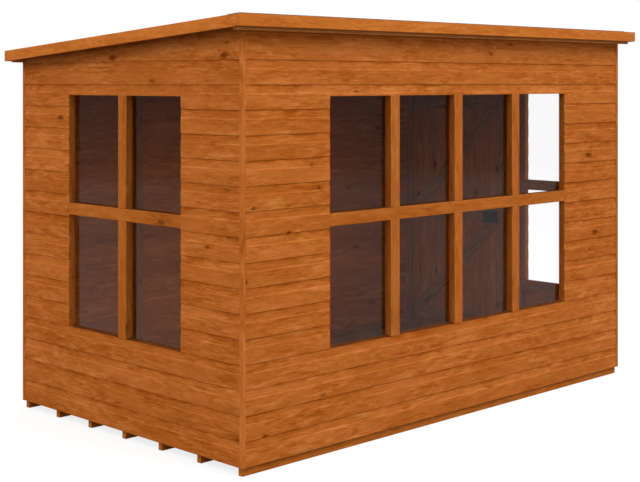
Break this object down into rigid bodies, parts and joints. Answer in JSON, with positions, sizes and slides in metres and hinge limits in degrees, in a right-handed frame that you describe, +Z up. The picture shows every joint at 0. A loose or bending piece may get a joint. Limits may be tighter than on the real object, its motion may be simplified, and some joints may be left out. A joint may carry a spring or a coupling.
{
  "type": "garden shed",
  "caption": "Timber garden shed with a pent roof, horizontally boarded walls, barred windows on the front and both ends, and a ledged door in the right end.",
  "frame": {"origin": "on the ground under the middle of the shed", "axes": "+X along the front wall to the right, +Y from the front wall to the back, +Z up"},
  "size_m": [3.157, 1.92, 2.052],
  "materials": {
    "stained_boards": "exterior orange-brown stained softwood boards, satin",
    "stained_trim": "exterior orange-brown stained softwood trim, satin",
    "frame_timber": "stained softwood framing, sawn",
    "floor_timber": "stained softwood floor, planed",
    "roof_boards": "softwood roof boards, sawn",
    "window_glass": "clear float glass",
    "roof_felt": "mineral felt, matt",
    "black_iron": "black painted steel"
  },
  "bodies": {
    "shed": {"back_cladding": "stained_boards", "back_fascia": "stained_trim", "back_rails": "frame_timber", "back_studs": "frame_timber", "corner_strips": "stained_trim", "door_hinge_plates": "black_iron", "door_lock_keep": "black_iron", "floor_bearers": "frame_timber", "floor_deck": "floor_timber", "front_cladding": "stained_boards", "front_fascia": "stained_trim", "front_rails": "frame_timber", "front_studs": "frame_timber", "front_window_beads": "stained_trim", "front_window_glass": "window_glass", "front_window_lining": "stained_trim", "front_window_mullions": "stained_trim", "front_window_rail": "stained_trim", "left_cladding": "stained_boards", "left_rails": "frame_timber", "left_studs": "frame_timber", "left_window_beads": "stained_trim", "left_window_glass": "window_glass", "left_window_lining": "stained_trim", "left_window_mullions": "stained_trim", "left_window_rail": "stained_trim", "right_cladding_back": "stained_boards", "right_cladding_front": "stained_boards", "right_cladding_over_door": "stained_boards", "right_rails": "frame_timber", "right_studs": "frame_timber", "right_window_beads": "stained_trim", "right_window_glass": "window_glass", "right_window_lining": "stained_trim", "right_window_rail": "stained_trim", "roof_battens": "frame_timber", "roof_deck": "roof_boards", "roof_felt": "roof_felt", "side_fascias": "stained_trim"},
    "door": {"door_boards": "stained_boards", "door_ledges": "frame_timber", "door_braces": "frame_timber", "door_hinge_straps": "black_iron", "door_lock": "black_iron", "door_handle": "black_iron"}
  },
  "joints": [
    {"name": "door_hinge", "type": "hinge", "parent": "shed", "child": "door", "pos_m": [1.508, 0.7425, 0.9], "axis": [0, 0, 1], "range_deg": [0, 170]}
  ]
}
